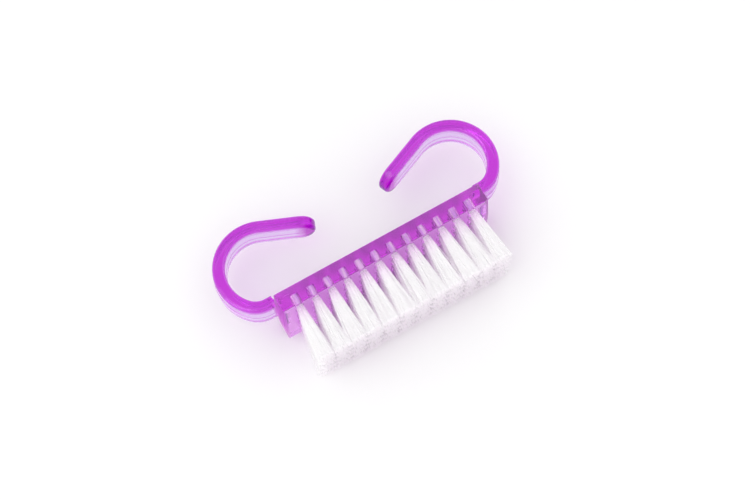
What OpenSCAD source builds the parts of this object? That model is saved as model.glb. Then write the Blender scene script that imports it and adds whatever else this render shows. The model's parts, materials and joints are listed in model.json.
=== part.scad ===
// Nail brush lying on its long side: one moulded plate with two finger hooks,
// sixty bristle tufts set in blind holes, and a small metal anchor in each tuft.
// X runs along the plate, +Y points to the hooks, -Y to the bristle tips, Z is up.
// The origin is the middle of the long side face that the brush rests on.

/* [Plate] */
// Length of the plate along its side faces
plate_length = 47.4; // [45:0.2:54]
// Thickness of the plate, from bristle face to back
plate_thickness = 4.1; // [3.8:0.1:6]
// Width of the plate across the tuft rows
plate_width = 17.5; // [16:0.5:22]
// Rounding of the four long edges of the plate
plate_edge_r = 0.2; // [0.15:0.05:0.8]
// How far each end face stands out at its parting line
end_bulge = 0.3; // [0.1:0.05:0.8]

/* [Hooks] */
// Length of the whole brush over both hooks
overall_length = 65; // [63:0.5:74]
// Thickness of the hook band
hook_thickness = 2.8; // [2.2:0.1:3.4]
// Width of the hook band
hook_width = 7; // [5.5:0.1:9]
// Radius of the hook's large bend, to the middle of the band
hook_radius = 8.8; // [8:0.1:10]
// Radius of the tighter bend beside the plate, to the middle of the band
neck_radius = 4.9; // [3.5:0.1:6]
// Angle that the tighter bend turns through
neck_turn = 45; // [35:1:55]
// How far the band's middle lies behind the back of the plate
neck_rise = 0.8; // [0.4:0.1:1.2]
// Slope of the straight arm towards the plate
arm_angle = 23; // [10:1:28]
// Length of the straight arm with its round end
arm_length = 11.8; // [9:0.1:13]
// Rounding of the band's long edges
hook_edge_r = 0.8; // [0.3:0.05:1]
// How far the band's walls fall back from its parting line to its rounding
hook_draft = 0.07; // [0.02:0.01:0.15]
// Half the width of the flat strip along the band's parting line
parting_land = 0.2; // [0.1:0.05:0.4]
// How much further out the band's faces stand in the tighter bend and neck
neck_swell = 0.02; // [0.01:0.01:0.05]

/* [Tufts] */
// Distance from the plate's end to the middle of the first tuft
end_margin = 3.7; // [3:0.1:5]
// Distance from the plate's side to the middle of the first tuft
side_margin = 1.95; // [1.8:0.05:2.6]
// Diameter of each tuft hole
hole_d = 1.8; // [1.4:0.05:2.1]
// Depth of each tuft hole
hole_depth = 2.5; // [2.4:0.1:3.2]
// Length of the bristles outside the plate
bristle_length = 12.3; // [8:0.1:18]
// Side of a strand where it leaves the hole
strand_root = 0.38; // [0.25:0.01:0.4]
// Side of a strand at its tip
strand_tip = 0.75; // [0.3:0.01:0.8]
// Free gap between the strands of neighbouring tufts at the tips
tip_gap = 0.15; // [0.1:0.05:0.6]
// Clearance round the packed root of a tuft in its hole
root_gap = 0.04; // [0.02:0.01:0.08]

/* [Anchors] */
// Width of a metal anchor
anchor_width = 1.3; // [1:0.05:1.4]
// Thickness of a metal anchor
anchor_thickness = 0.3; // [0.2:0.05:0.4]
// Depth of a metal anchor along its hole
anchor_depth = 1.2; // [1:0.1:1.8]
// Clearance between an anchor and the filaments folded over it
anchor_gap = 0.03; // [0.02:0.01:0.06]

/* [Marks] */
// Diameter of the round ejector marks on the upper side face
mark_d = 1.7; // [1:0.1:2.4]
// Depth of the ejector marks
mark_depth = 0.12; // [0.06:0.01:0.25]
// Distance of an ejector mark from the end of the plate
mark_inset = 2.2; // [1.8:0.1:3]

/* [Hidden] */

// Columns along the plate and rows across it
columns = 12;
rows = 5;
// Strands of one tuft: one in the middle and a ring round it
ring_strands = 6;
// Overrun of every cut
over = 1;
// Share of a column's place by which its tips spread outwards
splay_share = 0.035;
// How far the strands reach into the packed root
strand_seat = 0.5;

// Places of the tufts
pitch_x = (plate_length - 2*end_margin)/(columns - 1);
pitch_z = (plate_width - 2*side_margin)/(rows - 1);
function column_x(i) = -plate_length/2 + end_margin + i*pitch_x;
function row_z(j) = side_margin + j*pitch_z;
front_y = -plate_thickness/2;
back_y = plate_thickness/2;
mid_z = plate_width/2;

// Middle line of the left hook, worked out from its radii
hook_x = overall_length/2 - hook_radius - hook_thickness/2;
neck_y = back_y + neck_rise;
neck_x = hook_x + (hook_radius - neck_radius)*sin(neck_turn);
hook_y = neck_y + neck_radius + (hook_radius - neck_radius)*cos(neck_turn);
arm_run = arm_length - hook_width/2;
arm_start = 90 - arm_angle;
// Radius that leads the band's inner face down to the back of the plate
root_r = neck_rise + hook_thickness/2 + neck_swell;
seat_x = plate_length/2 - root_r;

// How far the large bend reaches into the thicker one, as a length and as an angle
neck_lap = 0.25;
lap_turn = neck_lap/hook_radius*180/PI;

// Ring of strands: centre radius at the root and at the tips
root_pack = hole_d/2 - root_gap;
ring_root = root_pack - 0.7*strand_root;
ring_tip = (min(pitch_x, pitch_z) - tip_gap - strand_tip)/2;

plastic = [0.76, 0.24, 0.80];
nylon = [0.96, 0.95, 0.96];
brass = [0.80, 0.68, 0.36];

// Section of the hook band: flat faces, round edges, widest at the parting line
module band_section(swell) {
    x = hook_thickness/2 + swell;
    y = hook_width/2 + swell;
    cx = x - hook_draft - hook_edge_r;
    cy = y - hook_edge_r;
    union() {
        polygon([[x, -parting_land], [x, parting_land], [cx + hook_edge_r, cy], [cx, y],
            [-cx, y], [-cx - hook_edge_r, cy], [-x, parting_land], [-x, -parting_land],
            [-cx - hook_edge_r, -cy], [-cx, -y], [cx, -y], [cx + hook_edge_r, -cy]]);
        for (sx = [-1, 1], sy = [-1, 1])
            translate([sx*cx, sy*cy]) circle(r = hook_edge_r, $fn = 32);
    }
}

// Half of the band's section, turned to spin the round end of the arm
module half_section() {
    intersection() {
        rotate(90) band_section(0);
        translate([0, -hook_thickness]) square([hook_width, 2*hook_thickness]);
    }
}

// Left hook: round end, straight arm and large bend, then the tighter bend and neck
module hook() {
    translate([-hook_x, hook_y, mid_z]) {
        rotate([90, 0, arm_start]) translate([hook_radius, 0, 0]) {
            linear_extrude(arm_run) band_section(0);
            translate([0, 0, arm_run]) rotate([0, 90, 0]) rotate([0, 0, 90])
                rotate_extrude(angle = 180, $fn = 64) half_section();
        }
        rotate([0, 0, arm_start])
            rotate_extrude(angle = 270 - neck_turn - arm_start + lap_turn, $fn = 128)
                translate([hook_radius, 0]) band_section(0);
    }
    translate([-neck_x, neck_y + neck_radius, mid_z]) mirror([1, 0, 0])
        rotate([0, 0, 270]) rotate_extrude(angle = neck_turn, $fn = 128)
            translate([neck_radius, 0]) band_section(neck_swell);
    difference() {
        translate([-neck_x, neck_y, mid_z]) rotate([90, 0, 90])
            linear_extrude(neck_x - seat_x) band_section(neck_swell);
        translate([-seat_x, back_y + root_r, mid_z - hook_width/2 - over])
            cylinder(r = root_r, h = hook_width + 2*over, $fn = 64);
    }
}

// Plate: rounded long edges, and end faces that stand out at the parting line
module plate_block() {
    r = plate_edge_r;
    half = plate_length/2 + end_bulge;
    intersection() {
        translate([-half, 0, 0]) rotate([90, 0, 90]) linear_extrude(2*half) union() {
            translate([front_y + r, 0]) square([plate_thickness - 2*r, plate_width]);
            translate([front_y, r]) square([plate_thickness, plate_width - 2*r]);
            for (y = [front_y + r, back_y - r], z = [r, plate_width - r])
                translate([y, z]) circle(r = r, $fn = 24);
        }
        translate([0, plate_thickness, 0]) rotate([90, 0, 0])
            linear_extrude(2*plate_thickness)
                polygon([[-plate_length/2, 0], [plate_length/2, 0], [half, mid_z],
                    [plate_length/2, plate_width], [-plate_length/2, plate_width],
                    [-half, mid_z]]);
    }
}

module handle_body() {
    color(plastic) difference() {
        union() {
            plate_block();
            hook();
            mirror([1, 0, 0]) hook();
        }
        for (i = [0:columns - 1], j = [0:rows - 1])
            translate([column_x(i), front_y + hole_depth, row_z(j)]) rotate([90, 0, 0])
                cylinder(d = hole_d, h = hole_depth + over, $fn = 24);
        for (s = [-1, 1])
            translate([s*(plate_length/2 - mark_inset), 0, plate_width - mark_depth])
                cylinder(d = mark_d, h = mark_depth + over, $fn = 32);
    }
}

// One strand: a straight four-sided rod that widens a little to its tip
module strand(px, pz, turn, reach_x, reach_z) {
    w0 = strand_root/2;
    w1 = strand_tip/2;
    y0 = front_y + strand_seat;
    y1 = front_y - bristle_length;
    corners = [[-1, -1], [1, -1], [1, 1], [-1, 1]];
    ring0 = [for (c = corners) [px + w0*(c[0]*cos(turn) - c[1]*sin(turn)), y0,
        pz + w0*(c[0]*sin(turn) + c[1]*cos(turn))]];
    ring1 = [for (c = corners) [reach_x + w1*(c[0]*cos(turn) - c[1]*sin(turn)), y1,
        reach_z + w1*(c[0]*sin(turn) + c[1]*cos(turn))]];
    polyhedron(points = concat(ring0, ring1), faces = [
        [0, 1, 2], [0, 2, 3], [4, 6, 5], [4, 7, 6],
        [0, 5, 1], [0, 4, 5], [1, 6, 2], [1, 5, 6],
        [2, 7, 3], [2, 6, 7], [3, 4, 0], [3, 7, 4]]);
}

// One tuft: packed root, folded over its anchor, and strands that spread to the tips
module tuft(x, z) {
    tip_x = x*(1 + splay_share);
    union() {
        difference() {
            translate([x, front_y + hole_depth - root_gap, z]) rotate([90, 0, 0])
                cylinder(r = root_pack, h = hole_depth - root_gap, $fn = 12);
            translate([x - anchor_width/2 - anchor_gap,
                front_y + hole_depth - 2*root_gap - anchor_depth - anchor_gap,
                z - anchor_thickness/2 - anchor_gap])
                cube([anchor_width + 2*anchor_gap, anchor_depth + anchor_gap + over,
                    anchor_thickness + 2*anchor_gap]);
        }
        strand(x, z, 0, tip_x, z);
        for (k = [0:ring_strands - 1]) {
            a = k*360/ring_strands;
            strand(x + ring_root*cos(a), z + ring_root*sin(a), a,
                tip_x + ring_tip*cos(a), z + ring_tip*sin(a));
        }
    }
}

// Five tufts of one column
module tuft_column(i) {
    color(nylon) for (j = [0:rows - 1]) tuft(column_x(i), row_z(j));
}

// Five anchors of one column, each a flat plate at the bottom of its hole
module anchor_column(i) {
    color(brass) for (j = [0:rows - 1])
        translate([column_x(i) - anchor_width/2,
            front_y + hole_depth - 2*root_gap - anchor_depth,
            row_z(j) - anchor_thickness/2])
            cube([anchor_width, anchor_depth, anchor_thickness]);
}

handle_body();
tuft_column(0);  // tuft_column_01
tuft_column(1);  // tuft_column_02
tuft_column(2);  // tuft_column_03
tuft_column(3);  // tuft_column_04
tuft_column(4);  // tuft_column_05
tuft_column(5);  // tuft_column_06
tuft_column(6);  // tuft_column_07
tuft_column(7);  // tuft_column_08
tuft_column(8);  // tuft_column_09
tuft_column(9);  // tuft_column_10
tuft_column(10);  // tuft_column_11
tuft_column(11);  // tuft_column_12
anchor_column(0);  // anchor_column_01
anchor_column(1);  // anchor_column_02
anchor_column(2);  // anchor_column_03
anchor_column(3);  // anchor_column_04
anchor_column(4);  // anchor_column_05
anchor_column(5);  // anchor_column_06
anchor_column(6);  // anchor_column_07
anchor_column(7);  // anchor_column_08
anchor_column(8);  // anchor_column_09
anchor_column(9);  // anchor_column_10
anchor_column(10);  // anchor_column_11
anchor_column(11);  // anchor_column_12
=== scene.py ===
# Nail brush of clear purple plastic with two finger hooks, on its long side on a white table
import itertools
import json
import math

import bmesh
import bpy
from mathutils import Matrix, Vector

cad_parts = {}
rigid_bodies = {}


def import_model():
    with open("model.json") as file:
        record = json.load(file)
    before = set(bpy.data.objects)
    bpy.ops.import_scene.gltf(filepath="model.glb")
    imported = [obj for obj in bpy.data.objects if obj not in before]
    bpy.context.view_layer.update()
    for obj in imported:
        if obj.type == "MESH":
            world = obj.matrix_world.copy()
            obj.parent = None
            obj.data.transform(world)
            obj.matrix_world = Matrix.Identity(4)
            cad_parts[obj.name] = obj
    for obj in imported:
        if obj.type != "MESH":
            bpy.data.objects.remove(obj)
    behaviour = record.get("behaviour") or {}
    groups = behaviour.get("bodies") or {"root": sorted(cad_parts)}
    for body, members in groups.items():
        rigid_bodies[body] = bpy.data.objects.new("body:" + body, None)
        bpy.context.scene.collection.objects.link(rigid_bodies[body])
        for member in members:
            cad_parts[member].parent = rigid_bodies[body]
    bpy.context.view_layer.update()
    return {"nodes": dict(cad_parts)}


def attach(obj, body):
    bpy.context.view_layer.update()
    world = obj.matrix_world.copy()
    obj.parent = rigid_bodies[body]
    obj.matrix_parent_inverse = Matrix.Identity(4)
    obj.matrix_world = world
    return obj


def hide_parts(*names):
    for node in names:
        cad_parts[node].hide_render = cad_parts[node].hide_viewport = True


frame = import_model()
MM = 0.001

# Sizes in millimetres, the same values as in the part's source
PLATE_LENGTH, PLATE_THICKNESS, PLATE_WIDTH = 47.4, 4.1, 17.5
PLATE_EDGE_R, PLATE_END_R, END_BULGE = 0.2, 0.15, 0.3
OVERALL_LENGTH, HOOK_THICKNESS, HOOK_WIDTH = 65.0, 2.8, 7.0
HOOK_RADIUS, NECK_RADIUS, NECK_TURN, NECK_RISE = 8.8, 4.9, 45.0, 0.8
ARM_ANGLE, ARM_LENGTH, HOOK_EDGE_R, HOOK_DRAFT = 23.0, 11.8, 0.8, 0.07
SEAM_HALF, SEAM_RISE, NECK_SWELL = 0.06, 0.035, 0.02
END_MARGIN, SIDE_MARGIN, HOLE_D, HOLE_DEPTH = 3.7, 1.95, 1.8, 2.5
BRISTLE_LENGTH, COLUMNS, ROWS = 12.3, 12, 5
MARK_D, MARK_DEPTH, MARK_INSET = 1.7, 0.12, 2.2
# How much shorter the bristles are trimmed for each millimetre towards the table
TRIM_SLANT = 0.06

# Places worked out from the sizes
FRONT_Y, BACK_Y, MID_Z = -PLATE_THICKNESS / 2, PLATE_THICKNESS / 2, PLATE_WIDTH / 2
END_X, TIP_Y = PLATE_LENGTH / 2, FRONT_Y - BRISTLE_LENGTH
FIRST_X = END_MARGIN - END_X
PITCH_X = (PLATE_LENGTH - 2 * END_MARGIN) / (COLUMNS - 1)
PITCH_Z = (PLATE_WIDTH - 2 * SIDE_MARGIN) / (ROWS - 1)
HOOK_X = OVERALL_LENGTH / 2 - HOOK_RADIUS - HOOK_THICKNESS / 2
NECK_Y = BACK_Y + NECK_RISE
NECK_X = HOOK_X + (HOOK_RADIUS - NECK_RADIUS) * math.sin(math.radians(NECK_TURN))
HOOK_Y = (NECK_Y + NECK_RADIUS
          + (HOOK_RADIUS - NECK_RADIUS) * math.cos(math.radians(NECK_TURN)))
ROOT_R = NECK_RISE + HOOK_THICKNESS / 2 + NECK_SWELL
SEAT_X = END_X - ROOT_R
# The left hook's arm: direction across it and along it, and where its bend ends
ARM_TURN = 90 - ARM_ANGLE
ARM_OUT = Vector((math.cos(math.radians(ARM_TURN)), math.sin(math.radians(ARM_TURN))))
ARM_ALONG = Vector((ARM_OUT.y, -ARM_OUT.x))
ARM_START = Vector((-HOOK_X, HOOK_Y)) + ARM_OUT * HOOK_RADIUS


# Camera at the view that the outlines of the brush give
def add_camera():
    azimuth, elevation, roll = (math.radians(a) for a in (-25.07, 69.90, -5.01))
    focal_px, frame_px, sensor = 1837.0, 750, 36
    distance, shift_x, shift_y = 378.0, 1.624, -2.979
    target = Vector((0, 0, 7))
    back = Vector((math.sin(azimuth) * math.cos(elevation),
                   -math.cos(azimuth) * math.cos(elevation), math.sin(elevation)))
    level = Vector((math.cos(azimuth), math.sin(azimuth), 0))
    rise = back.cross(level)
    right = level * math.cos(roll) + rise * math.sin(roll)
    up = rise * math.cos(roll) - level * math.sin(roll)
    place = target + back * distance - right * shift_x - up * shift_y
    data = bpy.data.cameras.new("camera")
    data.sensor_width = sensor
    data.lens = focal_px / frame_px * sensor
    data.clip_start, data.clip_end = 0.01, 20
    cam = new_object("camera", data)
    turn = Matrix((right, up, back)).transposed().to_4x4()
    cam.matrix_world = Matrix.Translation(place * MM) @ turn
    bpy.context.scene.camera = cam


def new_object(name, data):
    obj = bpy.data.objects.new(name, data)
    bpy.context.scene.collection.objects.link(obj)
    return obj


# A node's output that can be used in Python expressions
class Wire:
    def __init__(self, nodes, socket):
        self.nodes, self.socket = nodes, socket

    def __add__(self, other):
        return self.nodes.maths("ADD", self, other)

    def __sub__(self, other):
        return self.nodes.maths("SUBTRACT", self, other)

    def __rsub__(self, other):
        return self.nodes.maths("SUBTRACT", other, self)

    def __mul__(self, other):
        return self.nodes.maths("MULTIPLY", self, other)

    def __truediv__(self, other):
        return self.nodes.maths("DIVIDE", self, other)

    def __rtruediv__(self, other):
        return self.nodes.maths("DIVIDE", other, self)

    def __abs__(self):
        return self.nodes.maths("ABSOLUTE", self)

    __radd__, __rmul__ = __add__, __mul__


# The nodes of one tree: every node comes from its type, its settings and what its
# sockets get, a value or a wire
class Nodes:
    def __init__(self, tree):
        self.tree = tree
        tree.nodes.clear()

    def node(self, kind, settings=None, inputs=None, output=0):
        made = self.tree.nodes.new(kind)
        for key, value in (settings or {}).items():
            setattr(made, key, value)
        for key, value in (inputs or {}).items():
            if isinstance(value, Wire):
                self.tree.links.new(value.socket, made.inputs[key])
            elif isinstance(value, tuple) and made.inputs[key].type == "RGBA":
                made.inputs[key].default_value = (*value, 1)
            else:
                made.inputs[key].default_value = value
        return Wire(self, made.outputs[output]) if made.outputs else None

    def maths(self, operation, *values):
        settings = {"operation": operation}
        return self.node("ShaderNodeMath", settings, dict(enumerate(values)))


# The nodes of a material or of the world
class Shader(Nodes):
    def __init__(self, name, library=bpy.data.materials):
        self.owner = library.new(name)
        self.owner.use_nodes = True
        super().__init__(self.owner.node_tree)

    # Rises from 0 to 1 between two values
    def ramp(self, value, low, high):
        inputs = {"Value": value, "From Min": low, "From Max": high}
        return self.node("ShaderNodeMapRange", {"clamp": True}, inputs)

    # The same, between two places in millimetres
    def between(self, value, low, high):
        return self.ramp(value, low * MM, high * MM)

    def mix(self, share, a, b):
        inputs = {0: share, 6: a, 7: b}
        return self.node("ShaderNodeMix", {"data_type": "RGBA"}, inputs, output=2)

    def place(self):
        return self.node("ShaderNodeTexCoord", output="Object")

    def axis(self, vector, name):
        return self.node("ShaderNodeSeparateXYZ", None, {0: vector}, output=name)

    def noise(self, scale, detail, place=None):
        inputs = {"Vector": place or self.place(), "Scale": scale, "Detail": detail}
        return self.node("ShaderNodeTexNoise", None, inputs)

    def ray(self, name):
        return self.node("ShaderNodeLightPath", output=name)

    # Lets the lamps' light through in the colour given, and shows the skin to other rays
    def see_through(self, skin, colour):
        clear = self.node("ShaderNodeBsdfTransparent", None, {"Color": colour})
        inputs = {0: self.ray("Is Shadow Ray"), 1: skin, 2: clear}
        return self.node("ShaderNodeMixShader", None, inputs)

    def material(self, surface, **more):
        self.node("ShaderNodeOutputMaterial", None, {"Surface": surface, **more})
        return self.owner


# Clear purple plastic: deep magenta painted shade on the hooks' upper faces, pale through
# the thin walls
def clear_purple_plastic():
    thin_wall, thick_wall = (0.83, 1.0, 0.96), (0.80, 0.98, 0.95)
    parting_line, line_strength = (0.72, 0.40, 0.82), 0.8
    # Painted light: the plate's end faces are painted paler than its sides
    plate_side, plate_end_painted_light = (0.94, 0.82, 1.0), (1.0, 0.95, 1.0)
    # Painted shade: deeper magenta on the plate's top, darker towards its ends
    plate_top_painted_shade, plate_corner_painted_shade = (0.95, 0.66, 0.97), (0.86, 0.42, 0.90)
    # Painted light and shade of the filaments seen in the tuft holes
    painted_filament_shade, painted_filament_light = (0.72, 0.40, 0.90), (1.0, 1.0, 1.0)
    # Painted shade: deep magenta for the hooks' upper faces and their round ends
    hook_top_painted_shade, hook_tip_painted_shade = (0.63, 0.06, 0.73), (0.52, 0.0, 0.62)
    for_lamps, depth_colour, depth_density = (0.86, 1.0, 0.88), (0.90, 0.0, 0.94), 160.0
    polish, grain, satin_more, frost_more = 0.08, 0.05, 0.3, 2.6

    s = Shader("clear_purple_plastic")
    waves, specks = s.noise(160.0, 2.0), s.noise(2600.0, 3.0)
    place = s.place()
    x, y, z = (s.axis(place, name) for name in "XYZ")
    aside, off_middle = abs(x), abs(z - MID_Z * MM)
    facing = s.axis(s.node("ShaderNodeTexCoord", output="Normal"), "Z")
    level = s.ramp(abs(facing), 0.35, 0.95)
    upright = 1.0 - level
    plate = s.between(y, BACK_Y + 0.6, BACK_Y + 0.05)
    plate = plate * s.between(aside, END_X + 0.7, END_X + 0.4)

    # The plate's back is satin, and its ends are frosted
    satin = plate * upright * s.between(y, 0.5, 0.6)
    frosted = plate * upright * s.between(aside, END_X - 0.4, END_X - 0.3)
    dull = s.maths("MAXIMUM", satin, frosted * frost_more)

    # Painted shade: the round end of each hook's arm is painted as deep as the hook's upper
    # face
    along = (aside + ARM_START.x * MM) * -ARM_ALONG.x + (y - ARM_START.y * MM) * ARM_ALONG.y
    tip = s.between(along, ARM_LENGTH - 4.5, ARM_LENGTH - 2.0) * s.between(y, 9, 10)
    painted_deep_shade = s.maths("MAXIMUM", level, tip) * (1.0 - plate)

    wall = s.mix(s.ramp(waves, 0.3, 0.7), thin_wall, thick_wall)
    wall = s.mix(s.between(off_middle, 0.16, 0.06) * line_strength, wall, parting_line)
    # Painted shade on the plate's top, darker towards its ends
    top = s.mix(s.between(aside, END_X - 3.2, END_X - 1.2), plate_top_painted_shade, plate_corner_painted_shade)
    # Painted light on the plate's end faces
    side = s.mix(s.between(aside, END_X - 0.4, END_X - 0.1), plate_side, plate_end_painted_light)
    wall = s.mix(plate, wall, s.mix(level, side, top))

    # Walls of the tuft holes: painted pale with the light of the white filaments inside
    # them, and painted light and shade in streaks of the pressed filaments along them
    hole = s.between(y, FRONT_Y + 0.05, FRONT_Y + 0.1)
    hole = hole * s.between(y, BACK_Y - 0.5, BACK_Y - 0.7)
    hole = hole * s.between(off_middle, MID_Z - 0.2, MID_Z - 0.3)
    hole = hole * s.between(aside, END_X - 1.2, END_X - 1.7)
    inputs = {0: place, 1: (1.0, 0.08, 1.0)}
    drawn = s.node("ShaderNodeVectorMath", {"operation": "MULTIPLY"}, inputs)
    streak = s.ramp(s.noise(1700.0, 1.0, drawn), 0.42, 0.58)
    wall = s.mix(hole, wall, s.mix(streak, painted_filament_shade, painted_filament_light))

    ripple = {"Height": waves, "Strength": 0.06, "Distance": 0.0002}
    skin = s.node("ShaderNodeBsdfPrincipled", None, {
        "Base Color": s.mix(painted_deep_shade, wall, s.mix(tip, hook_top_painted_shade, hook_tip_painted_shade)),
        "Roughness": s.ramp(specks, 0.2, 0.8) * grain + polish + dull * satin_more,
        "IOR": 1.5,
        "Transmission Weight": 0.98,
        "Normal": s.node("ShaderNodeBump", None, ripple),
    })
    absorption = {"Color": depth_colour, "Density": depth_density}
    depth = s.node("ShaderNodeVolumeAbsorption", None, absorption)
    return s.material(s.see_through(skin, for_lamps), Volume=depth)


# White nylon: clear where it leaves the purple plastic, with painted purple light near its
# roots and a painted pink glow speckled at its cut tips
def white_nylon():
    pure, off_white, painted_purple_light = (1.0, 0.997, 1.0), (0.999, 0.993, 0.999), (0.98, 0.85, 0.99)
    # Painted pink glow at the cut tips, speckled
    tip_glow_pale, tip_glow_pink = (1.0, 0.99, 1.0), (0.99, 0.955, 0.99)
    for_lamps = (0.975, 0.965, 0.975)
    # How solid a filament looks at the mouth of its hole, and what is added away from it
    at_mouth, away, at_tip = 0.12, 0.6, 0.28

    s = Shader("white_nylon")
    streaks = s.noise(900.0, 2.0)
    place = s.place()
    y, z = s.axis(place, "Y"), s.axis(place, "Z")
    # Painted purple light from the plastic on the filaments just outside the holes, fading
    # away from the plate
    root = s.between(y, -7.5, -2.3) * s.between(y, -1.9, -2.1)
    trimmed = y - (PLATE_WIDTH * MM - z) * TRIM_SLANT
    cut = s.between(trimmed, TIP_Y + 0.8, TIP_Y + 0.3)
    outside = s.between(y, FRONT_Y - 0.1, FRONT_Y - 2.2)
    inside = s.between(y, FRONT_Y + 0.1, FRONT_Y + 0.25)
    white = s.mix(s.ramp(streaks, 0.3, 0.7), pure, off_white)
    # Painted pink glow speckled over the cut tips
    painted_tip_glow = s.mix(s.ramp(s.noise(2200.0, 1.0), 0.42, 0.58), tip_glow_pale, tip_glow_pink)
    skin = s.node("ShaderNodeBsdfPrincipled", None, {
        "Base Color": s.mix(cut, s.mix(root * root, white, painted_purple_light), painted_tip_glow),
        "Roughness": s.ramp(streaks, 0.2, 0.8) * 0.15 + 0.3,
        "IOR": 1.53,
        "Alpha": (outside + inside) * away + at_mouth + cut * at_tip,
    })
    return s.material(s.see_through(skin, for_lamps))


# Brass wire, pressed flat
def anchor_brass():
    s = Shader("anchor_brass_wire")
    grain = s.noise(3500.0, 3.0)
    return s.material(s.node("ShaderNodeBsdfPrincipled", None, {
        "Base Color": s.mix(grain, (0.80, 0.70, 0.50), (0.88, 0.80, 0.62)),
        "Metallic": 1.0,
        "Roughness": s.ramp(grain, 0.2, 0.8) * 0.2 + 0.25,
    }))


# A bmesh in millimetres made a mesh in metres, with its faces pointing outwards
def finished_mesh(bm, name):
    bmesh.ops.recalc_face_normals(bm, faces=bm.faces)
    bmesh.ops.scale(bm, vec=(MM, MM, MM), verts=bm.verts)
    mesh = bpy.data.meshes.new(name)
    bm.to_mesh(mesh)
    bm.free()
    return mesh


# Skin between each ring of points and the next
def join_rings(bm, rings):
    count = len(rings[0])
    for a, b in zip(rings, rings[1:]):
        for i in range(count):
            j = (i + 1) % count
            bm.faces.new((a[i], a[j], b[j], b[i]))


# Outline of the hook band's section, once round from the parting line on its outer side
def band_section(outer, inner, half_width):
    steps, most_rounding = 10, 0.45
    corner = min(HOOK_EDGE_R, most_rounding * (outer + inner) - HOOK_DRAFT)
    angles = [math.radians(90 * k / steps) for k in range(steps + 1)]

    def side(reach, sign):
        seam = [(sign * reach, 0.0), (sign * reach, SEAM_HALF),
                (sign * (reach - SEAM_RISE), SEAM_HALF + SEAM_RISE)]
        middle_u, middle_v = reach - HOOK_DRAFT - corner, half_width - corner
        return seam + [(sign * (middle_u + corner * math.cos(a)),
                        middle_v + corner * math.sin(a)) for a in angles]

    half = side(outer, 1) + side(inner, -1)[::-1]
    return half + [(u, -v) for u, v in half[-2:0:-1]]


# Stations of the left hook, from the start of the arm's round end to the plate: place,
# direction outwards, reach of the band's section outwards and inwards, and its half width
def hook_stations():
    arm_steps, bend_steps, neck_steps, root_steps = 3, 96, 30, 12
    swell_steps, overrun, sink = 6, 0.3, 0.12
    half, half_width = HOOK_THICKNESS / 2, HOOK_WIDTH / 2
    run = ARM_LENGTH - half_width
    stations = []
    for k in range(arm_steps):
        place = ARM_START + ARM_ALONG * run * (1 - k / arm_steps)
        stations.append((place, ARM_OUT, half, half, half_width))
    for k in range(bend_steps + 1):
        a = math.radians(ARM_TURN + (270 - NECK_TURN - ARM_TURN) * k / bend_steps)
        out = Vector((math.cos(a), math.sin(a)))
        place = Vector((-HOOK_X, HOOK_Y)) + out * HOOK_RADIUS
        stations.append((place, out, half, half, half_width))
    for k in range(1, neck_steps + 1):
        a = math.radians(270 - NECK_TURN + NECK_TURN * k / neck_steps)
        out = Vector((math.cos(a), math.sin(a)))
        place = Vector((-NECK_X, NECK_Y + NECK_RADIUS)) + out * NECK_RADIUS
        more = NECK_SWELL * min(1, k / swell_steps)
        stations.append((place, out, half + more, half + more, half_width + more))
    # The inner face leaves the band in a quarter round and sinks into the plate's back
    down, full, wide = Vector((0, -1)), half + NECK_SWELL, half_width + NECK_SWELL
    stations.append((Vector((-SEAT_X - ROOT_R, NECK_Y)), down, full, full, wide))
    for k in range(1, root_steps + 1):
        x = -SEAT_X - ROOT_R * math.cos(math.radians(90 * k / root_steps))
        rise = math.sqrt(max(ROOT_R ** 2 - (x + SEAT_X) ** 2, 0))
        inner = BACK_Y + ROOT_R - rise - NECK_Y
        stations.append((Vector((x, NECK_Y)), down, full, inner, wide))
    end = Vector((-SEAT_X + overrun, NECK_Y))
    stations.append((end, down, full, BACK_Y - sink - NECK_Y, wide))
    return stations


# One hook as a closed mesh: its round end is the half section spun about the arm's middle
def hook_mesh(mirror):
    spin_steps, weld = 40, 1e-4
    bm = bmesh.new()
    stations = hook_stations()
    rings = [[bm.verts.new((place.x + out.x * u, place.y + out.y * u, MID_Z + v))
              for u, v in band_section(outer, inner, half_width)]
             for place, out, outer, inner, half_width in stations]
    join_rings(bm, rings)
    bm.faces.new(rings[-1])
    place, out, outer, inner, half_width = stations[0]
    half_ring = [p for p in band_section(outer, inner, half_width) if p[1] >= 0]
    spun = []
    for k in range(spin_steps + 1):
        a = math.pi * k / spin_steps
        spun.append([bm.verts.new((
            place.x + out.x * u + ARM_ALONG.x * v * math.sin(a),
            place.y + out.y * u + ARM_ALONG.y * v * math.sin(a),
            MID_Z + v * math.cos(a))) for u, v in half_ring])
    last = len(half_ring) - 2
    for a, b in zip(spun, spun[1:]):
        bm.faces.new((a[0], a[1], b[1]))
        for i in range(1, last):
            bm.faces.new((a[i], a[i + 1], b[i + 1], b[i]))
        bm.faces.new((a[last], a[last + 1], b[last]))
    bmesh.ops.remove_doubles(bm, verts=bm.verts, dist=weld)
    if mirror:
        bmesh.ops.scale(bm, vec=(-1, 1, 1), verts=bm.verts)
    return finished_mesh(bm, "hook")


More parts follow.
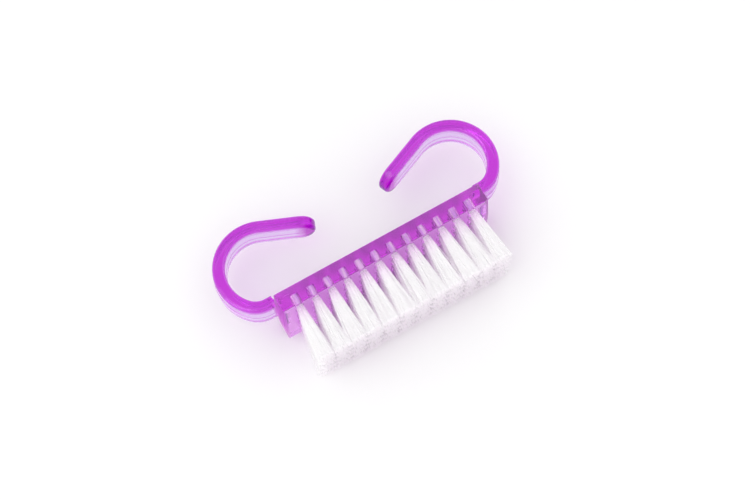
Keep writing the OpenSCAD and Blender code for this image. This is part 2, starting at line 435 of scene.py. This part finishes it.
# Plate with rounded edges, whose end faces stand out at the parting line
def plate_mesh():
    bm = bmesh.new()
    steps, end_steps, near = 8, 4, 1e-6

    def profile(inset):
        r = PLATE_EDGE_R - inset
        ring = []
        for k, (sy, sz) in enumerate(((1, 1), (-1, 1), (-1, -1), (1, -1))):
            cy, cz = sy * (BACK_Y - PLATE_EDGE_R), MID_Z + sz * (MID_Z - PLATE_EDGE_R)
            for step in range(steps + 1):
                a = math.radians(90 * k + 90 * step / steps)
                ring.append((cy + r * math.cos(a), cz + r * math.sin(a)))
            if k == 1:
                ring.append((-BACK_Y + inset, MID_Z))
        ring.append((BACK_Y - inset, MID_Z))
        return ring

    rings = []
    for side in (-1, 1):
        for k in range(end_steps + 1)[::-side]:
            a = math.radians(90 * (1 - k / end_steps))
            dx, inset = PLATE_END_R * (1 - math.sin(a)), PLATE_END_R * (1 - math.cos(a))
            ring = []
            for y, z in profile(inset):
                bulge = END_BULGE * (1 - abs(z - MID_Z) / MID_Z)
                ring.append(bm.verts.new((side * (END_X + bulge - dx), y, z)))
            rings.append(ring)
    join_rings(bm, rings)
    for ring in (rings[0], rings[-1]):
        low = [v for v in ring if v.co.z <= MID_Z + near]
        high = [v for v in ring if v.co.z >= MID_Z - near]
        for part in (low, high):
            middle_z = sum(v.co.z for v in part) / len(part)
            part.sort(key=lambda v: math.atan2(v.co.z - middle_z, v.co.y))
            bm.faces.new(part)
    return finished_mesh(bm, "plate")


# Closed round plug about an axis, "y" or "z", from one place on it to another
def add_plug(bm, centre, axis, radius, low, high):
    sides = 32
    rings = []
    for t in (low, high):
        ring = []
        for k in range(sides):
            a = 2 * math.pi * k / sides
            u, v = centre[0] + radius * math.cos(a), centre[1] + radius * math.sin(a)
            ring.append(bm.verts.new((u, t, v) if axis == "y" else (u, v, t)))
        rings.append(ring)
        bm.faces.new(ring)
    join_rings(bm, rings)


# Everything that is cut out of the moulding: tuft holes and ejector marks
def cuts_mesh():
    over = 1
    bm = bmesh.new()
    for i in range(COLUMNS):
        for j in range(ROWS):
            centre = (FIRST_X + i * PITCH_X, SIDE_MARGIN + j * PITCH_Z)
            add_plug(bm, centre, "y", HOLE_D / 2, FRONT_Y - over, FRONT_Y + HOLE_DEPTH)
    for side in (-1, 1):
        centre = (side * (END_X - MARK_INSET), 0)
        add_plug(bm, centre, "z", MARK_D / 2, PLATE_WIDTH - MARK_DEPTH, PLATE_WIDTH + over)
    return finished_mesh(bm, "cuts")


# The mesh that an object's modifiers make, with the modifiers taken off
def apply_modifiers(obj):
    graph = bpy.context.evaluated_depsgraph_get()
    obj.data = bpy.data.meshes.new_from_object(obj.evaluated_get(graph))
    obj.modifiers.clear()


# An object joined or cut with a mesh
def combine(base, mesh, operation):
    other = new_object("other", mesh)
    mod = base.modifiers.new("combine", "BOOLEAN")
    mod.object, mod.operation, mod.solver = other, operation, "EXACT"
    apply_modifiers(base)
    bpy.data.objects.remove(other)


# The moulded body: plate and both hooks in one closed skin
def add_handle():
    sharp_edge = math.radians(32)
    handle = new_object("handle", plate_mesh())
    combine(handle, hook_mesh(mirror=False), "UNION")
    combine(handle, hook_mesh(mirror=True), "UNION")
    combine(handle, cuts_mesh(), "DIFFERENCE")
    handle.data.shade_smooth()
    handle.data.set_sharp_from_angle(angle=sharp_edge)
    weights = handle.modifiers.new("even_shading", "WEIGHTED_NORMAL")
    weights.mode, weights.weight, weights.keep_sharp = "FACE_AREA", 100, True
    apply_modifiers(handle)
    handle.data.materials.clear()
    handle.data.materials.append(clear_purple_plastic())
    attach(handle, "root")
    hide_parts("handle_body")


# The nodes that grow the bristles, with inputs that have names
class Growth(Nodes):
    def __init__(self, name, sizes):
        super().__init__(bpy.data.node_groups.new(name, "GeometryNodeTree"))
        sockets = self.tree.interface
        sockets.new_socket("Geometry", in_out="OUTPUT", socket_type="NodeSocketGeometry")
        self.sizes, self.ids = sizes, {}
        for size, value in sizes.items():
            kind = "NodeSocketInt" if isinstance(value, int) else "NodeSocketFloat"
            socket = sockets.new_socket(size, in_out="INPUT", socket_type=kind)
            self.ids[size] = socket.identifier
        group_input = self.tree.nodes.new("NodeGroupInput")
        self.into = {size: Wire(self, group_input.outputs[size]) for size in sizes}

    def vector(self, x, y, z):
        return self.node("ShaderNodeCombineXYZ", None, {0: x, 1: y, 2: z})

    def blend(self, a, b, share):
        inputs = {0: share, 4: a, 5: b}
        return self.node("ShaderNodeMix", {"data_type": "VECTOR"}, inputs, output=1)

    def vector_maths(self, operation, inputs):
        return self.node("ShaderNodeVectorMath", {"operation": operation}, inputs)


# Sizes of the bristles in metres, shares and counts
def bristle_sizes():
    lengths = {
        "First Place": FIRST_X, "Lowest Row": SIDE_MARGIN, "Middle": MID_Z,
        "Pitch Along": PITCH_X, "Pitch Across": PITCH_Z,
        "Face": FRONT_Y, "Length": BRISTLE_LENGTH, "Seat": HOLE_DEPTH - 0.1,
        "Anchor Reach": 1.15, "Anchor Side": 0.26,
        "Filament Radius": 0.075, "Root Radius": 0.8,
        "Tip Reach Along": 1.9, "Tip Reach Across": 1.6,
        "Lowest Tip": 0.7, "Top": PLATE_WIDTH,
        "Tuft Lean": 0.22, "Bend": 0.12, "Spread": 0.3, "Stray": 0.45,
        "Uneven": 0.4, "Dome": 0.2,
    }
    sizes = {name: value * MM for name, value in lengths.items()}
    sizes.update({
        "First Column": 0, "Columns": COLUMNS, "Rows": ROWS, "Filaments": 115, "Seed": 7,
        "Pressed": 0.66, "Splay": 0.025, "Stray Share": 0.03, "Gather": 0.94,
        "Trim Slant": TRIM_SLANT,
    })
    return sizes


# Bristle filaments: each stands in its hole beside the anchor, leans outwards from the
# mouth of the hole and bends a little
def bristle_tree(material):
    g = Growth("bristle_filaments", bristle_sizes())
    into = g.into
    index = g.node("GeometryNodeInputIndex")
    count = into["Columns"] * into["Rows"] * into["Filaments"]
    points = g.node("GeometryNodePoints", None, {"Count": count})

    # The column and the row of each filament's tuft, and the tuft's place
    tuft = g.maths("FLOOR", (index + 0.5) / into["Filaments"])
    column = g.maths("FLOOR", (tuft + 0.5) / into["Rows"])
    row = tuft - column * into["Rows"]
    column = column + into["First Column"]
    place_x = into["First Place"] + column * into["Pitch Along"]
    place_z = into["Lowest Row"] + row * into["Pitch Across"]
    key = column * into["Rows"] + row

    # A value from -reach to reach, for each filament or for each tuft
    draws, seeds_apart = itertools.count(), 100.0

    def random_value(reach, each=index):
        seed = into["Seed"] + next(draws)
        if each is index:
            seed = seed + into["First Column"] * seeds_apart
        inputs = {2: reach * -1.0, 3: reach, 7: each, 8: seed}
        return g.node("FunctionNodeRandomValue", {"data_type": "FLOAT"}, inputs, output=1)

    def random_share():
        return random_value(1.0) * 0.5 + 0.5

    # Even spread over a disc: a turn, and a distance from the middle
    around = random_share() * (2 * math.pi)
    out_squared = random_share()
    out = g.maths("SQRT", out_squared)
    disc_u, disc_v = out * g.maths("COSINE", around), out * g.maths("SINE", around)

    # Beside the anchor the two halves of the tuft part
    root_u, root_v = disc_u * into["Root Radius"], disc_v * into["Root Radius"]
    parted = g.maths("SIGN", root_v) * (into["Anchor Side"] + abs(root_v) * into["Pressed"])
    x, face, side = place_x + root_u, into["Face"], place_z + parted
    root = g.vector(x, face + into["Seat"], side)
    shoulder = g.vector(x, face + into["Anchor Reach"], side)
    mouth = g.vector(x, face, place_z + root_v)

    # The tips spread out from the middle of the brush, and a few filaments stray further
    stray = g.maths("LESS_THAN", random_share(), into["Stray Share"])
    wander = into["Spread"] + stray * into["Stray"]
    tip_x = place_x * (into["Splay"] + 1.0) + disc_u * into["Tip Reach Along"]
    tip_x = tip_x + random_value(into["Tuft Lean"], key) + random_value(wander)
    # The rows draw together a little, and the lowest filaments turn up off the table
    tip_z = into["Middle"] + (place_z - into["Middle"]) * into["Gather"]
    tip_z = tip_z + disc_v * into["Tip Reach Across"] + random_value(wander)
    tip_z = abs(tip_z - into["Lowest Tip"]) + into["Lowest Tip"]
    # A tuft's end is uneven and domed, and it is trimmed shorter towards the table
    uneven = g.maths("POWER", random_share(), 2.0) * into["Uneven"]
    tip_y = face - into["Length"] + uneven + out_squared * into["Dome"]
    tip_y = tip_y + (into["Top"] - tip_z) * into["Trim Slant"]
    tip = g.vector(tip_x, tip_y, tip_z)
    sag = g.vector(random_value(into["Bend"]), 0.0, random_value(into["Bend"]))

    # A thread on each point: its first point is the root, its second the anchor's end,
    # its third the mouth of the hole, and its last the tip
    thread_points, mouth_step = 7, 2
    marks = {"root": root, "shoulder": shoulder, "mouth": mouth, "tip": tip, "sag": sag}
    stored = points
    for name, value in marks.items():
        settings = {"data_type": "FLOAT_VECTOR", "domain": "POINT"}
        inputs = {"Geometry": stored, "Name": name, "Value": value}
        stored = g.node("GeometryNodeStoreNamedAttribute", settings, inputs)
    inputs = {"Start": (0, 0, 0), "End": (0, 0, MM)}
    thread = g.node("GeometryNodeCurvePrimitiveLine", {"mode": "POINTS"}, inputs)
    inputs = {"Curve": thread, "Count": thread_points}
    thread = g.node("GeometryNodeResampleCurve", None, inputs)
    inputs = {"Points": stored, "Instance": thread}
    grown = g.node("GeometryNodeInstanceOnPoints", None, inputs)
    grown = g.node("GeometryNodeRealizeInstances", None, {"Geometry": grown})
    at = {name: g.node("GeometryNodeInputNamedAttribute", {"data_type": "FLOAT_VECTOR"},
                       {"Name": name}) for name in marks}
    step = g.node("GeometryNodeSplineParameter", output="Factor") * float(thread_points - 1)
    place = g.blend(at["root"], at["shoulder"], step)
    place = g.blend(place, at["mouth"], step - 1.0)
    free = (step - float(mouth_step)) / float(thread_points - 1 - mouth_step)
    free = g.node("ShaderNodeClamp", None, {"Value": free})
    place = g.blend(place, at["tip"], free)
    bow = free * (1.0 - free) * 4.0
    bent = g.vector_maths("SCALE", {0: at["sag"], "Scale": bow})
    place = g.vector_maths("ADD", {0: place, 1: bent})
    shaped = g.node("GeometryNodeSetPosition", None, {"Geometry": grown, "Position": place})

    # Thin square tubes along the threads
    inputs = {"Resolution": 4, "Radius": into["Filament Radius"]}
    ring = g.node("GeometryNodeCurvePrimitiveCircle", None, inputs)
    inputs = {"Curve": shaped, "Profile Curve": ring, "Fill Caps": True}
    tubes = g.node("GeometryNodeCurveToMesh", None, inputs)
    for name in marks:
        inputs = {"Geometry": tubes, "Name": name}
        tubes = g.node("GeometryNodeRemoveAttribute", None, inputs)
    smooth = g.node("GeometryNodeSetShadeSmooth", None, {"Geometry": tubes})
    done = g.node("GeometryNodeRealizeInstances", None, {"Geometry": smooth})
    inputs = {"Geometry": done, "Material": material}
    g.node("NodeGroupOutput", None, {0: g.node("GeometryNodeSetMaterial", None, inputs)})
    return g


# Sixty tufts of filaments, as a left and a right half
def add_bristles():
    g = bristle_tree(white_nylon())
    half = COLUMNS // 2
    for name, first in (("bristles_left", 0), ("bristles_right", half)):
        bristles = new_object(name, bpy.data.meshes.new(name))
        mod = bristles.modifiers.new("grow", "NODES")
        mod.node_group = g.tree
        for size, value in {**g.sizes, "First Column": first, "Columns": half}.items():
            mod[g.ids[size]] = value
        apply_modifiers(bristles)
        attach(bristles, "root")
        columns = range(first + 1, first + half + 1)
        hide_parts(*(f"tuft_column_{i:02d}" for i in columns))


# The anchors of the CAD model, in brass
def dress_anchors():
    brass = anchor_brass()
    for i in range(1, COLUMNS + 1):
        materials = frame["nodes"][f"anchor_column_{i:02d}"].data.materials
        materials.clear()
        materials.append(brass)


# White table: it keeps the brush's soft shadow, and looks white through the plastic
def add_table():
    below, half_side = 0.02, 2.0
    seen_through, mirrored = 0.95, 0.4
    s = Shader("white_table")
    through = s.ray("Is Transmission Ray") * seen_through
    share = s.maths("MAXIMUM", through, s.ray("Is Glossy Ray") * mirrored)
    paper = s.node("ShaderNodeBsdfDiffuse", None, {"Color": (0.93, 0.93, 0.93)})
    white = s.node("ShaderNodeEmission", None, {"Color": (1.0, 1.0, 1.0), "Strength": 1.0})
    sheet = s.node("ShaderNodeMixShader", None, {0: share, 1: paper, 2: white})
    bm = bmesh.new()
    bmesh.ops.create_grid(bm, x_segments=1, y_segments=1, size=half_side)
    mesh = bpy.data.meshes.new("table")
    bm.to_mesh(mesh)
    bm.free()
    mesh.transform(Matrix.Translation((0, 0, -below * MM)))
    mesh.materials.append(s.material(sheet))
    new_object("table", mesh)


# Even studio light: a white room, and one large soft lamp high on the left
def add_light():
    room_light, lamp_side, lamp_power = 0.93, 0.6, 1.9
    s = Shader("studio", bpy.data.worlds)
    seen = s.maths("MAXIMUM", s.ray("Is Glossy Ray"), s.ray("Is Transmission Ray"))
    strength = seen * (1.0 - room_light) + room_light
    inputs = {"Color": (1.0, 1.0, 1.0), "Strength": strength}
    s.node("ShaderNodeOutputWorld", None, {
        "Surface": s.node("ShaderNodeBackground", None, inputs)})
    bpy.context.scene.world = s.owner
    data = bpy.data.lights.new("overhead", "AREA")
    data.shape, data.size, data.energy = "SQUARE", lamp_side, lamp_power
    lamp = new_object("overhead", data)
    lamp.location = (-0.40, 0.02, 0.75)
    lamp.rotation_euler = (-lamp.location).to_track_quat("-Z", "Y").to_euler()


# Light stays long in clear plastic and between white filaments
def set_bounces():
    cycles = bpy.context.scene.cycles
    cycles.max_bounces = cycles.diffuse_bounces = cycles.transparent_max_bounces = 64
    cycles.glossy_bounces = cycles.transmission_bounces = 24


bpy.context.scene.view_settings.view_transform = "Standard"
set_bounces()
add_camera()
add_table()
add_light()
add_handle()
add_bristles()
dress_anchors()
